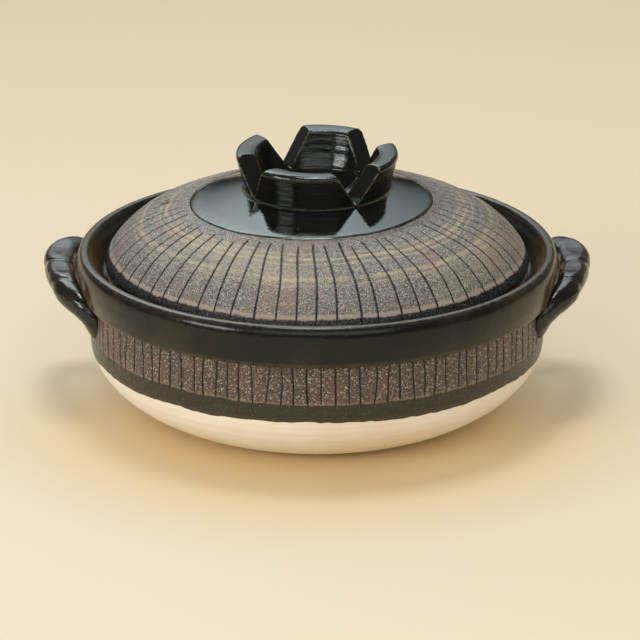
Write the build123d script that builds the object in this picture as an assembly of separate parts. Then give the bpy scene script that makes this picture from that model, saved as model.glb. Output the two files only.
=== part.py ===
from build123d import *
import os
from math import atan2, degrees, sqrt

# Donabe, a covered clay cooking pot: a thrown bowl with two pulled ears, and a lid with a cut crown knob.
# Millimetres. The origin is on the floor under the middle of the base, +Z is up and +X runs through an ear.
# Radii are from the pot's axis, heights from the floor unless a name says otherwise.

# Bowl, outside
rim_radius = 147.0          # the widest ring of the collar
rim_height = 99.5           # top of the lip
base_inset = 47.5           # from the wall in to the outer edge of the ring that the bowl stands on
base_ring_width = 13.0
base_dish_depth = 1.4       # the middle of the base is dished, so that it doesn't rock
base_sweep_run = 10.0       # how far out and up the base sweeps before the belly turns up
base_sweep_rise = 2.5
belly_height = 39.2         # where the lower curve meets the wall, at the glaze line
belly_lean = 6.3            # how far in and down the belly's curve is drawn
belly_drop = 25.0
wall_bulge = 0.8
collar_height = 25.2        # from the collar's underside to the top of the lip
collar_step = 5.8           # how far the collar's lower edge stands out from the wall
collar_lean = 1.7           # how far its lower edge is inside its widest ring
collar_edge_round = 2.0
collar_bulge_drop = 11.0    # from the top of the lip down to the widest ring
lip_roll_inset = 0.4        # where the lip's roll starts: in from the widest ring, down from the top
lip_roll_drop = 4.6
lip_crest_inset = 4.8       # from the widest ring in to the top of the lip
lip_width = 8.2             # from the widest ring in to the mouth's edge
lip_inner_drop = 2.4

# Bowl, inside
wall_thickness = 9.0
floor_thickness = 8.0
mouth_taper = 5.0           # how much the mouth narrows from the lip down to the seat
seat_depth = 16.0           # from the top of the lip down to the ledge that carries the lid
seat_round = 3.5            # the hollow corner between the mouth and the seat
seat_rim_thickness = 7.5    # how thick the ledge is at its inner edge
throat_blend = 15.0         # height over which the ledge runs back into the wall

# Lid
lid_side_gap = 4.1          # all round, between the lid and the seat's outer edge
lid_seat_clearance = 0.3
seat_hold = 6.5             # how far the ledge reaches in under the lid
lid_foot_width = 4.6        # the ring that the lid stands on
lid_foot_lean = 1.2
flange_height = 7.9         # from the lid's foot up to its widest ring
flange_run = 2.9            # from the widest ring in and up to the foot of the dome
flange_rise = 6.1
dome_rise = 42.0            # from the foot of the dome to its middle
lid_thickness = 7.6
lid_inner_step = 4.0        # from the inner edge of the lid's foot in and up to the foot of the inner dome
lid_inner_rise = 11.0
steam_hole_radius = 3.5
steam_hole_inset = 33.2     # from the foot of the dome in to the hole's middle
steam_hole_turn = 172.0     # degrees round from +X

# Crown knob: a flared ring with notches cut down to the lid
knob_height = 24.5          # from its foot on the dome up to its crest
knob_flare = 5.2            # how far its outer edge stands out over its foot
knob_root = 5.0             # how far the ring's foot runs straight on down before the dome cuts it off
knob_wall = 12.6
knob_foot_wall = 13.6
knob_crest_inset = 5.6      # from the outer edge in to the crest
knob_shoulder_drop = 3.2    # from the crest down to the outer edge
knob_inner_drop = 1.8
knob_tilt = 2.2             # degrees by which the ring leans towards the front
notch_turns = (-58.4, 36.0, 121.6, -148.4)  # degrees round from +X, cut by hand
notch_width = 33.0          # across a notch at the height of the crest
notch_sill = 0.9            # how much of the ring is left standing on the dome in a notch

# Ears: two thick bars, each bent over at both ends and pressed on to the wall under the collar
ear_projection = 30.2       # from the wall out to the bar's outermost face
ear_half_length = 50.0      # from the ear's line out to the middle of its back bend
bar_width = 20.5
bar_thickness = 16.5
bar_drop = 18.5             # from the top of the lip down to the middle of the bar
ear_foot_drop = 28.0        # from the middle of the bar down to the middle of its feet
finger_hollow_radius = 30.0
finger_hollow_depth = 1.6

overrun = 40.0              # how far every cutting body runs past what it cuts

# Lengths that follow from the ones above
neck_height = rim_height - collar_height
collar_foot_radius = rim_radius - collar_lean
wall_radius = collar_foot_radius - collar_step
base_radius = wall_radius - base_inset
mouth_radius = rim_radius - lip_width
seat_radius = mouth_radius - mouth_taper
seat_height = rim_height - seat_depth
lid_radius = seat_radius - lid_side_gap
seat_inner_radius = lid_radius - seat_hold
lid_foot_height = seat_height + lid_seat_clearance
flange_top = lid_foot_height + flange_height
dome_radius = lid_radius - flange_run
dome_foot_height = flange_top + flange_rise
dome_top = dome_foot_height + dome_rise
steam_hole_place = dome_radius - steam_hole_inset
bar_height = rim_height - bar_drop
ear_foot_height = bar_height - ear_foot_drop

# The dome's outline from its foot to the axis: share of its radius, share of its rise
knob_foot_shares = (0.35, 0.9)      # this point carries the knob's foot
dome_shares = ((1.0, 0.0), (0.96, 0.148), (0.882, 0.357), (0.77, 0.531), (0.58, 0.717), knob_foot_shares, (0.0, 1.0))

# An ear from its back foot over the bar to its front foot: share of the half length, of the bar's distance
# from the wall, of its height over the foot, of the bar's width and of its thickness
ear_shares = (
    (0.74, -0.52, -0.05, 0.5, 0.75),
    (0.82, 0.05, 0.15, 0.78, 0.95),
    (0.95, 0.3, 0.5, 0.84, 0.97),
    (1.02, 0.52, 0.86, 0.86, 0.98),
    (0.84, 0.83, 0.98, 0.98, 1.0),
    (0.58, 1.0, 1.0, 1.0, 0.97),
    (0.26, 0.98, 0.97, 0.93, 0.94),
    (-0.06, 0.88, 0.97, 0.87, 0.93),
    (-0.36, 0.71, 0.95, 0.81, 0.94),
    (-0.58, 0.5, 0.87, 0.78, 0.95),
    (-0.74, 0.14, 0.72, 0.68, 1.0),
    (-0.78, -0.2, 0.48, 0.68, 1.15),
    (-0.74, -0.36, 0.2, 0.6, 0.95),
    (-0.68, -0.6, -0.04, 0.42, 0.7),
)
finger_stations = (5, 7, 9)     # the stations that are pressed in by a finger


def at(radius, height):
    return Vector(radius, 0, height)


def rounded(start, corner, end):
    # An arc from start to end that bulges towards the corner like a quarter circle
    chord_middle = (start + end) / 2
    return ThreePointArc(start, corner + (chord_middle - corner) * (2 - sqrt(2)), end)


def turned(edges):
    # One full turn of a closed outline about the pot's axis, with its seam at the back, clear of the ears
    return Rot(Z=90) * revolve(make_face(edges), Axis.Z)


def bowl_block():
    # The bowl's outside, filled up to the top of the lip
    dish_radius = base_radius - base_ring_width
    dish = at(0, base_dish_depth)
    dish_edge = at(dish_radius, base_dish_depth)
    ring_inner = at(dish_radius + base_dish_depth, 0)
    ring_outer = at(base_radius, 0)
    base_sweep = at(base_radius + base_sweep_run, base_sweep_rise)
    belly_pull = at(wall_radius - belly_lean, belly_height - belly_drop)
    belly = at(wall_radius, belly_height)
    wall_middle = at(wall_radius + wall_bulge, (belly_height + neck_height) / 2)
    neck = at(wall_radius, neck_height)
    collar_under = at(collar_foot_radius - collar_edge_round, neck_height)
    collar_corner = at(collar_foot_radius, neck_height)
    collar_side = at(collar_foot_radius, neck_height + collar_edge_round)
    widest = at(rim_radius, rim_height - collar_bulge_drop)
    roll_start = at(rim_radius - lip_roll_inset, rim_height - lip_roll_drop)
    roll_corner = at(rim_radius - lip_roll_inset, rim_height)
    crest = at(rim_radius - lip_crest_inset, rim_height)
    return turned([
        Line(dish, dish_edge),
        Line(dish_edge, ring_inner),
        Line(ring_inner, ring_outer),
        Bezier(ring_outer, base_sweep, belly_pull, belly),
        ThreePointArc(belly, wall_middle, neck),
        Line(neck, collar_under),
        rounded(collar_under, collar_corner, collar_side),
        ThreePointArc(collar_side, widest, roll_start),
        rounded(roll_start, roll_corner, crest),
        Line(crest, at(0, rim_height)),
        Line(at(0, rim_height), dish),
    ])


def bowl_cavity():
    # The bowl's inside, with the ledge for the lid, run on up through the mouth
    inner_floor = base_dish_depth + floor_thickness
    inner_radius = wall_radius - wall_thickness
    inner_base_radius = base_radius - wall_thickness
    throat_height = seat_height - seat_rim_thickness
    crest_radius = rim_radius - lip_crest_inset
    floor_middle = at(0, inner_floor)
    floor_edge = at(inner_base_radius, inner_floor)
    inner_sweep = at(inner_base_radius + base_sweep_run, inner_floor + base_sweep_rise)
    inner_pull = at(inner_radius - belly_lean, belly_height - belly_drop + floor_thickness)
    inner_belly = at(inner_radius, belly_height)
    throat = at(inner_radius, throat_height - throat_blend)
    seat_under = at(seat_inner_radius, throat_height)
    seat_edge = at(seat_inner_radius, seat_height)
    seat_flat = at(seat_radius - seat_round, seat_height)
    seat_corner = at(seat_radius, seat_height)
    seat_wall = at(seat_radius, seat_height + seat_round)
    mouth = at(mouth_radius, rim_height - lip_inner_drop)
    mouth_corner = at(mouth_radius, rim_height)
    crest = at(crest_radius, rim_height)
    top = rim_height + overrun
    return turned([
        Line(floor_middle, floor_edge),
        Bezier(floor_edge, inner_sweep, inner_pull, inner_belly),
        Line(inner_belly, throat),
        Spline(throat, seat_under, tangents=((0, 0, 1), (0, 0, 1))),
        Line(seat_under, seat_edge),
        Line(seat_edge, seat_flat),
        rounded(seat_flat, seat_corner, seat_wall),
        Line(seat_wall, mouth),
        rounded(mouth, mouth_corner, crest),
        Line(crest, at(crest_radius, top)),
        Line(at(crest_radius, top), at(0, top)),
        Line(at(0, top), floor_middle),
    ])


def dome_curve(radius, foot_height, rise):
    points = [at(radius * across, foot_height + rise * up) for across, up in dome_shares]
    foot_lean = (points[1] - points[0]).normalized()
    return Spline(points, tangents=(foot_lean, (-1, 0, 0)), tangent_scalars=(1, 1))


def lid_block():
    # The lid's outside, filled
    foot_outer = at(lid_radius - lid_foot_lean, lid_foot_height)
    flange = at(lid_radius, flange_top)
    dome_foot = at(dome_radius, dome_foot_height)
    foot_middle = at(0, lid_foot_height)
    return turned([
        Line(foot_middle, foot_outer),
        Line(foot_outer, flange),
        Line(flange, dome_foot),
        dome_curve(dome_radius, dome_foot_height, dome_rise),
        Line(at(0, dome_top), foot_middle),
    ])


def lid_hollow():
    foot_inner = at(lid_radius - lid_foot_lean - lid_foot_width, lid_foot_height)
    mouth = at(foot_inner.X + lid_inner_step, lid_foot_height - lid_inner_rise)
    inner_foot = at(foot_inner.X - lid_inner_step, lid_foot_height + lid_inner_rise)
    inner_top = dome_top - lid_thickness
    return turned([
        Line(mouth, inner_foot),
        dome_curve(inner_foot.X, inner_foot.Z, inner_top - inner_foot.Z),
        Line(at(0, inner_top), at(0, mouth.Z)),
        Line(at(0, mouth.Z), mouth),
    ])


def lid(block):
    upright = (Align.CENTER, Align.CENTER, Align.MIN)
    steam_hole = Cylinder(steam_hole_radius, dome_top, align=upright)
    return block - lid_hollow() - Rot(Z=steam_hole_turn) * Pos(X=steam_hole_place) * steam_hole


def knob_ring(foot):
    # The whole ring from its foot's outer edge, running down into the dome
    crest_height = foot.Z + knob_height
    top_radius = foot.X + knob_flare
    inner_foot_radius = foot.X - knob_foot_wall
    inner_radius = top_radius - knob_wall
    outer_root = at(foot.X, foot.Z - knob_root)
    shoulder = at(top_radius, crest_height - knob_shoulder_drop)
    shoulder_corner = at(top_radius, crest_height)
    crest = at(top_radius - knob_crest_inset, crest_height)
    inner_corner = at(inner_radius, crest_height)
    inner_top = at(inner_radius, crest_height - knob_inner_drop)
    inner_foot = at(inner_foot_radius, foot.Z)
    inner_root = at(inner_foot_radius, foot.Z - knob_root)
    ring = turned([
        Line(outer_root, foot),
        Line(foot, shoulder),
        rounded(shoulder, shoulder_corner, crest),
        rounded(crest, inner_corner, inner_top),
        Line(inner_top, inner_foot),
        Line(inner_foot, inner_root),
        Line(inner_root, outer_root),
    ])
    return Pos(Z=dome_top) * Rot(X=knob_tilt) * Pos(Z=-dome_top) * ring


def notch(foot, slope):
    # A wedge along +X: its bottom edge climbs inwards with the dome
    half_width_per_height = notch_width / 2 / (knob_height - notch_sill)
    wedge_height = knob_height + overrun
    half_width = wedge_height * half_width_per_height
    wedge = make_face(Polyline(
        (0, 0, 0),
        (0, half_width, wedge_height),
        (0, -half_width, wedge_height),
        close=True,
    ))
    bottom = Pos(foot) * Pos(Z=notch_sill)
    return bottom * Rot(Y=slope) * extrude(wedge, amount=foot.X, dir=(1, 0, 0), both=True)


def knob(dome):
    across, up = knob_foot_shares
    foot = at(dome_radius * across, dome_foot_height + dome_rise * up)
    outline = dome_curve(dome_radius, dome_foot_height, dome_rise)
    inward = outline.tangent_at(outline.param_at_point(foot))
    slope = degrees(atan2(inward.Z, -inward.X))
    ring = knob_ring(foot) - dome
    for turn in notch_turns:
        ring -= Rot(Z=turn) * notch(foot, slope)
    return ring


def ear_stations():
    # Centre, width and thickness of each of the ear's sections
    bar_distance = ear_projection - bar_width / 2
    stations = []
    for along, out, up, wide, thick in ear_shares:
        centre = Vector(
            wall_radius + bar_distance * out,
            ear_half_length * along,
            ear_foot_height + (bar_height - ear_foot_height) * up,
        )
        stations.append((centre, bar_width * wide, bar_thickness * thick))
    return stations


def ear(bowl_outside):
    stations = ear_stations()
    route = Spline([centre for centre, wide, thick in stations])
    sections = []
    for centre, wide, thick in stations:
        along = route.tangent_at(route.param_at_point(centre))
        outward = Vector(centre.X, centre.Y, 0).normalized()
        outward = outward - along * outward.dot(along)
        sections.append(Plane(centre, x_dir=outward, z_dir=along) * Ellipse(wide / 2, thick / 2))
    bar = loft(sections)
    for place in finger_stations:
        centre, wide, thick = stations[place]
        lift = thick / 2 + finger_hollow_radius - finger_hollow_depth
        bar -= Pos(centre + Vector(0, 0, lift)) * Sphere(finger_hollow_radius)
    return bar - bowl_outside


def main():
    bowl_outside = bowl_block()
    lid_outside = lid_block()
    handle_right = ear(bowl_outside)
    pieces = {
        "pot_bowl": bowl_outside - bowl_cavity(),
        "handle_left": mirror(handle_right, Plane.YZ),
        "handle_right": handle_right,
        "lid_dome": lid(lid_outside),
        "lid_knob": knob(lid_outside),
    }
    os.makedirs("parts", exist_ok=True)
    for name, piece in pieces.items():
        export_step(piece, f"parts/{name}.step")
        print(name, len(piece.solids()), "solid", round(piece.volume))


main()
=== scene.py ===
import math
import random

import bmesh
import bpy
import numpy as np
from mathutils import Matrix, Vector


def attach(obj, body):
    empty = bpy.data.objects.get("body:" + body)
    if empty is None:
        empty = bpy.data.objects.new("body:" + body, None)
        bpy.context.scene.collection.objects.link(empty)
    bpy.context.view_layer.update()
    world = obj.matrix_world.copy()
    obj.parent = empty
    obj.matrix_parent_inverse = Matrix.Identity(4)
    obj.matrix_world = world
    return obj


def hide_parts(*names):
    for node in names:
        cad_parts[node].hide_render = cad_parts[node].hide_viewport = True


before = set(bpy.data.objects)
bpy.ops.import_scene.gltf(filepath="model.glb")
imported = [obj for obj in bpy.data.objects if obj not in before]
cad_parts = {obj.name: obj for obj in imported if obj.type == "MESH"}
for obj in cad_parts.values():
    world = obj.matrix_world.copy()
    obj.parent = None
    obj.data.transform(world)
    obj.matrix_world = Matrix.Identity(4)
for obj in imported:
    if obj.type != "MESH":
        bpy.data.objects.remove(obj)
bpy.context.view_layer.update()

# Donabe: a clay pot with two finger-pressed ears and a domed lid with a cut crown knob.
# Lengths in the dictionaries are millimetres unless a note says metres; the meshes are metres.
mm = 0.001
fullTurn = 2 * math.pi
mergeGap = 0.000001         # metres; points closer than this are one
scene = bpy.context.scene
scene.view_settings.view_transform = "Standard"


def smoothLine(points, gap):
    # a smooth line through given points, with a point about every gap millimetres
    pts = [np.array(p, float) for p in points]
    pts = [2 * pts[0] - pts[1]] + pts + [2 * pts[-1] - pts[-2]]
    line = []
    for a, b, c, d in zip(pts, pts[1:], pts[2:], pts[3:]):
        count = max(1, int(round(np.linalg.norm(c - b) / gap)))
        for i in range(count):
            t = i / count
            line.append(0.5 * (2 * b + (c - a) * t + (2 * a - 5 * b + 4 * c - d) * t * t
                               + (3 * b - a - 3 * c + d) * t ** 3))
    line.append(pts[-2])
    return line


def outlineOf(*runs):
    # joins smooth runs into one outline; the runs meet at corners
    line = []
    for points, gap in runs:
        line += smoothLine(points, gap)[(1 if line else 0):]
    return line


def lathe(outline, columns, closed):
    # spins an outline of (radius, height) about the pot's axis
    bm = bmesh.new()
    ring = [bm.verts.new((p[0] * mm, 0, p[1] * mm)) for p in outline]
    pairs = list(zip(ring, ring[1:])) + ([(ring[-1], ring[0])] if closed else [])
    edges = [bm.edges.new(pair) for pair in pairs]
    bmesh.ops.spin(bm, geom=ring + edges, axis=(0, 0, 1), cent=(0, 0, 0), dvec=(0, 0, 0),
                   angle=fullTurn, steps=columns, use_merge=True, use_duplicate=False)
    bmesh.ops.remove_doubles(bm, verts=bm.verts, dist=mergeGap)
    bmesh.ops.recalc_face_normals(bm, faces=bm.faces)
    return bm


def meshObject(name, bm):
    mesh = bpy.data.meshes.new(name)
    bm.to_mesh(mesh)
    bm.free()
    obj = bpy.data.objects.new(name, mesh)
    scene.collection.objects.link(obj)
    mesh.shade_smooth()
    return obj


def readPoints(obj, what):
    flat = np.zeros(len(obj.data.vertices) * 3, np.float32)
    obj.data.vertices.foreach_get(what, flat)
    return flat.reshape(-1, 3).astype(float)


def movePoints(obj, points):
    obj.data.vertices.foreach_set("co", points.astype(np.float32).ravel())
    obj.data.update()


def outOf(points):
    # millimetres from the pot's axis
    return np.hypot(points[:, 0], points[:, 1]) / mm


def turnOf(points):
    # share of a full turn round the axis
    return np.arctan2(points[:, 1], points[:, 0]) / fullTurn


def swell(points, move):
    # pushes points out from the axis by so many millimetres, and less close to it
    points[:, :2] *= (1 + move / np.maximum(outOf(points), 20))[:, None]


def paint(obj, name, values):
    # a number on every vertex, read by the materials
    layer = obj.data.attributes.get(name) or obj.data.attributes.new(name, "FLOAT", "POINT")
    layer.data.foreach_set("value", values.astype(np.float32))


def applyModifiers(obj):
    shaped = bpy.data.meshes.new_from_object(obj.evaluated_get(bpy.context.evaluated_depsgraph_get()))
    old = obj.data
    obj.modifiers.clear()
    obj.data = shaped
    bpy.data.meshes.remove(old)
    shaped.shade_smooth()


def dress(obj, material, body, slot, *nodes):
    # gives a piece its finish and says what it rides on and stands for
    obj.data.materials.clear()
    obj.data.materials.append(material)
    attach(obj, body)
    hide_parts(*nodes)


def cutAway(obj, cutter):
    cut = obj.modifiers.new("cut", "BOOLEAN")
    cut.object = cutter
    cut.operation = "DIFFERENCE"
    cut.solver = "MANIFOLD"
    applyModifiers(obj)


def gridNoise(size, seed):
    # a smooth random surface in -1..1 that wraps round its first side, sampled by share
    rng = np.random.RandomState(seed)
    grid = rng.uniform(-1, 1, size)

    def sample(u, v):
        u = np.mod(u, 1.0) * size[0]
        v = np.clip(v, 0, 0.9999) * (size[1] - 1)
        i, j = np.floor(u).astype(int), np.floor(v).astype(int)
        fu, fv = fade(u - i, 0, 1), fade(v - j, 0, 1)
        i2, j2 = (i + 1) % size[0], np.minimum(j + 1, size[1] - 1)
        i = i % size[0]
        low = grid[i, j] * (1 - fu) + grid[i2, j] * fu
        high = grid[i, j2] * (1 - fu) + grid[i2, j2] * fu
        return low * (1 - fv) + high * fv
    return sample


def fade(x, low, high):
    # 0 at low, 1 at high, smooth between; low may be the larger one
    t = np.clip((x - low) / (high - low), 0, 1)
    return t * t * (3 - 2 * t)


class Wire:
    # one output socket; sums, products and powers of wires add Math nodes
    def __init__(self, tree, socket=None):
        self.tree = tree
        self.socket = socket

    def node(self, kind, settings=None, values=None, output=0):
        made = self.tree.nodes.new(kind)
        for name, value in (settings or {}).items():
            if name == "stops":
                ramp = made.color_ramp
                while len(ramp.elements) < len(value):
                    ramp.elements.new(0.5)
                for element, (place, color) in zip(ramp.elements, value):
                    element.position = place
                    element.color = (*color, 1)
            else:
                setattr(made, name, value)
        for name, value in (values or {}).items():
            if isinstance(value, Wire):
                self.tree.links.new(value.socket, made.inputs[name])
            else:
                made.inputs[name].default_value = value
        return Wire(self.tree, made.outputs[output])

    def math(self, operation, first, second=0.0):
        return self.node("ShaderNodeMath", {"operation": operation}, {0: first, 1: second})

    def __add__(self, other): return self.math("ADD", self, other)
    def __radd__(self, other): return self.math("ADD", other, self)
    def __sub__(self, other): return self.math("SUBTRACT", self, other)
    def __rsub__(self, other): return self.math("SUBTRACT", other, self)
    def __mul__(self, other): return self.math("MULTIPLY", self, other)
    def __rmul__(self, other): return self.math("MULTIPLY", other, self)
    def __truediv__(self, other): return self.math("DIVIDE", self, other)
    def __pow__(self, other): return self.math("POWER", self, other)


def rise(value, low, high):
    # 0 below low, 1 above high, smooth between; low may be the larger one
    return value.node("ShaderNodeMapRange", {"interpolation_type": "SMOOTHSTEP"},
                      {"Value": value, "From Min": low, "From Max": high})


def blendColor(mask, first, second):
    toColor = lambda c: c if isinstance(c, Wire) else (*c, 1)
    return mask.node("ShaderNodeMix", {"data_type": "RGBA"},
                     {0: mask, 6: toColor(first), 7: toColor(second)}, 2)


def noiseOn(where, scale, detail=2.0, roughness=0.5, distortion=0.0):
    return where.node("ShaderNodeTexNoise", None, {"Vector": where, "Scale": scale, "Detail": detail,
                                                   "Roughness": roughness, "Distortion": distortion})


def cellsOn(where, scale):
    return where.node("ShaderNodeTexVoronoi", None, {"Vector": where, "Scale": scale})


def startMaterial(name, constants):
    material = bpy.data.materials.new(name)
    material.use_nodes = True
    tree = material.node_tree
    shader = tree.nodes["Principled BSDF"]
    for socket, value in constants.items():
        shader.inputs[socket].default_value = value
    start = Wire(tree)
    place = start.node("ShaderNodeTexCoord", output="Object")
    return material, start, place, shader


def plug(wire, shader, socket):
    wire.tree.links.new(wire.socket, shader.inputs[socket])


def attribute(start, name):
    return start.node("ShaderNodeAttribute", {"attribute_name": name}, output="Fac")


def polar(place):
    # the three coordinates and the distance from the axis
    split = place.node("ShaderNodeSeparateXYZ", None, {0: place})
    x, y, z = [Wire(place.tree, split.socket.node.outputs[i]) for i in range(3)]
    radius = (x * x + y * y) ** 0.5
    return x, y, z, radius


def streaksOn(x, y, radius, around, across, detail=2.0, roughness=0.5):
    # noise drawn out round the pot without a seam: around sets how fast it changes that way
    safe = radius + 0.0001
    where = x.node("ShaderNodeCombineXYZ", None, {0: x / safe * around, 1: y / safe * around, 2: across})
    return noiseOn(where, 1, detail, roughness)


def bumpFrom(height, distance, strength=1.0, under=None):
    values = {"Height": height, "Distance": distance, "Strength": strength}
    if under is not None:
        values["Normal"] = under
    return height.node("ShaderNodeBump", None, values)


# In a look a scale is how many times a pattern repeats in a metre, and a relief is in metres.
glazeLook = {
    "deep": (0.0052, 0.0053, 0.0045),
    "brown": (0.026, 0.020, 0.012),
    "thin": (0.105, 0.100, 0.075),      # where it runs thinner over an edge, and partly a painted highlight on edges
    "fleck": (0.17, 0.16, 0.13),
    "roughness": 0.15,
    "shine": 1.40,
    "tint": (0.97, 1.0, 0.95),
    "bloom": (1.0, 0.60, 0.24),         # the iron's brown, seen where the glaze is edge on
    "bloomSpread": 0.3,
    "sheen": 0.22,
    "cloudScale": 28, "peelScale": 240, "grainScale": 620, "turningScale": 900,
    "pitScale": 420, "fleckScale": 900,
    "peelRelief": 0.00014, "grainRelief": 0.00005, "turningRelief": 0.00002, "pitRelief": 0.00014,
}
earLook = {**glazeLook, "roughness": 0.17, "sheen": 0.12, "shine": 1.52, "tint": (0.9, 1.0, 1.0),
           "turningRelief": 0.00001, "peelRelief": 0.00008}
discLook = {**glazeLook, "roughness": 0.04, "sheen": 0.0, "shine": 1.52, "tint": (0.86, 1.0, 1.0),
            "brown": (0.010, 0.010, 0.008),
            "peelRelief": 0.00006, "grainRelief": 0.00003, "turningRelief": 0.00001}
knobLook = {**glazeLook, "roughness": 0.10, "sheen": 0.03, "shine": 1.5, "tint": (0.9, 1.0, 1.0),
            "brown": (0.008, 0.008, 0.006), "peelRelief": 0.00010, "turningRelief": 0.000035}


def makeGlaze(name, look):
    # thick black glaze: deep in the hollows, brown and grey-green where it runs thinner; that grey-green on
    # edges is partly a painted highlight
    constants = {"IOR": look["shine"], "Specular Tint": (*look["tint"], 1), "Sheen Weight": look["sheen"],
                 "Sheen Roughness": look["bloomSpread"], "Sheen Tint": (*look["bloom"], 1)}
    material, start, place, shader = startMaterial(name, constants)
    x, y, z, radius = polar(place)
    cloud = noiseOn(place, look["cloudScale"], 4, 0.6)
    grain = noiseOn(place, look["grainScale"], 3, 0.6)
    peel = noiseOn(place, look["peelScale"], 2, 0.5)
    pits = rise(cellsOn(place, look["pitScale"]), 0.15, 0.05) * rise(noiseOn(place, 90, 2), 0.54, 0.66)
    flecks = rise(cellsOn(place, look["fleckScale"]), 0.2, 0.08) * rise(noiseOn(place, 160, 2), 0.52, 0.7)
    across = z * look["turningScale"] + radius * look["turningScale"]
    lines = rise(streaksOn(x, y, radius, 2.5, across, 3, 0.65), 0.5, 0.72)
    # thinned glaze over edges, and partly a painted highlight there
    thin = attribute(start, "thin") * rise(peel, 0.2, 0.7)
    color = blendColor(rise(cloud, 0.42, 0.74), look["deep"], look["brown"])
    color = blendColor(thin, color, look["thin"])
    color = blendColor(flecks * 0.35, color, look["fleck"])
    color = blendColor(pits * 0.6, color, look["brown"])
    plug(color, shader, "Base Color")
    rough = look["roughness"] + (cloud - 0.5) * 0.10 + grain * 0.04 + pits * 0.22 + thin * 0.08
    plug(rough, shader, "Roughness")
    under = bumpFrom(peel, look["peelRelief"])
    under = bumpFrom(lines, look["turningRelief"], 1.0, under)
    under = bumpFrom(grain, look["grainRelief"], 1.0, under)
    under = bumpFrom(1 - pits, look["pitRelief"], 1.0, under)
    plug(under, shader, "Normal")
    return material


slipLook = {
    "dark": (0.026, 0.023, 0.019),
    "brown": (0.125, 0.103, 0.086),
    "grey": (0.285, 0.275, 0.250),
    "rose": (0.215, 0.135, 0.115),
    "grain": (0.58, 0.55, 0.49),
    "ochre": (0.55, 0.43, 0.25),
    "edge": (0.42, 0.33, 0.27),
    "glaze": (0.0085, 0.0085, 0.008),
    "line": (0.007, 0.007, 0.006),
    "shine": 1.5,
    "roughness": 0.46,
    "brownScale": 1000, "greyScale": 1250, "roseScale": 34, "grainScale": 900,
    "gritRelief": 0.0007, "grainRelief": 0.00025, "brushRelief": 0.00014,
    "ringWander": 0.009, "ringWaver": 0.003,        # metres that the ochre rings stray
    "edgeRagged": 0.0022, "edgeWander": 0.002,      # metres that the slip's edge strays
}


def speckle(place, look):
    # brushed slip: dark and pale grains of clay through a brown ground
    brown = rise(noiseOn(place, look["brownScale"], 3, 0.8), 0.44, 0.57)
    ground = blendColor(brown, look["dark"], look["brown"])
    grey = rise(noiseOn(place, look["greyScale"], 2, 0.8, 0.5), 0.47, 0.57)
    ground = blendColor(grey * 0.95, ground, look["grey"])
    patch = rise(noiseOn(place, look["roseScale"], 3, 0.6), 0.50, 0.66)
    ground = blendColor(patch * 0.55, ground, look["rose"])
    pale = rise(cellsOn(place, look["grainScale"]), 0.42, 0.24) * rise(noiseOn(place, 420, 2), 0.42, 0.54)
    return blendColor(pale * 0.9, ground, look["grain"]), pale


def makeLidSlip(name, look, lid):
    # the lid's belt: speckle, brushed ochre rings, a pale line and the black glaze at its edge
    material, start, place, shader = startMaterial(name, {"IOR": look["shine"]})
    x, y, z, radius = polar(place)
    groove = attribute(start, "line")
    ground, pale = speckle(place, look)
    wander = (streaksOn(x, y, radius, 1.3, 0.0) - 0.5) * look["ringWander"]
    waver = (streaksOn(x, y, radius, 9.0, radius * 420, 3, 0.6) - 0.5) * look["ringWaver"]
    rings = None
    for at, width, strength in lid["ochreRings"]:
        off = radius + wander + waver - at * mm
        ring = rise(off.math("ABSOLUTE", off), width * mm, width * 0.1 * mm) * strength
        rings = ring if rings is None else rings.math("MAXIMUM", rings, ring)
    rings = rings * rise(streaksOn(x, y, radius, 9.0, radius * 260, 3, 0.75), 0.36, 0.54)
    brush = rise(streaksOn(x, y, radius, 2.0, radius * 700, 4, 0.7), 0.55, 0.75)
    color = blendColor(brush * 0.35, ground, look["ochre"])
    side = rise(streaksOn(x, y, radius, 1.1, radius * 20), 0.52, 0.7)
    color = blendColor(side * 0.28, color, look["ochre"])
    color = blendColor(rings * (0.75 + pale * 0.2), color, look["ochre"])
    ragged = (noiseOn(place, 260, 4, 0.7) - 0.5) * look["edgeRagged"]
    outward = radius + ragged + (streaksOn(x, y, radius, 2.2, 0.0) - 0.5) * look["edgeWander"]
    edge = lid["bandEdge"]
    edgeLine = rise(outward, (edge - 2.0) * mm, (edge - 1.2) * mm)
    color = blendColor(edgeLine * 0.75, color, look["edge"])
    overGlaze = rise(outward, (edge - 0.5) * mm, (edge + 0.3) * mm)
    sparks = rise(noiseOn(place, 1100, 3, 0.8), 0.56, 0.64)
    color = blendColor(overGlaze, color, blendColor(sparks * 0.5, look["glaze"], look["grey"]))
    inner = rise(radius, (lid["discRadius"] + 4.5) * mm, (lid["discRadius"] + 0.4) * mm)
    inner = inner * rise(noiseOn(place, 300, 3, 0.7), 0.3, 0.6)
    color = blendColor(inner * 0.55, color, look["dark"])
    scraped = groove + (noiseOn(place, 420, 3, 0.7) - 0.5) * 0.9
    color = blendColor(rise(scraped, 0.3, 0.5), color, look["line"])
    plug(color, shader, "Base Color")
    uneven = (noiseOn(place, 500, 2) - 0.5) * 0.3
    rough = look["roughness"] + uneven - overGlaze * 0.2 - rise(groove, 0.3, 0.7) * 0.2
    plug(rough, shader, "Roughness")
    under = bumpFrom(noiseOn(place, 700, 3, 0.8), look["gritRelief"], 0.9)
    under = bumpFrom(pale, look["grainRelief"], 0.9, under)
    under = bumpFrom(brush, look["brushRelief"], 0.8, under)
    plug(under, shader, "Normal")
    return material


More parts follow.
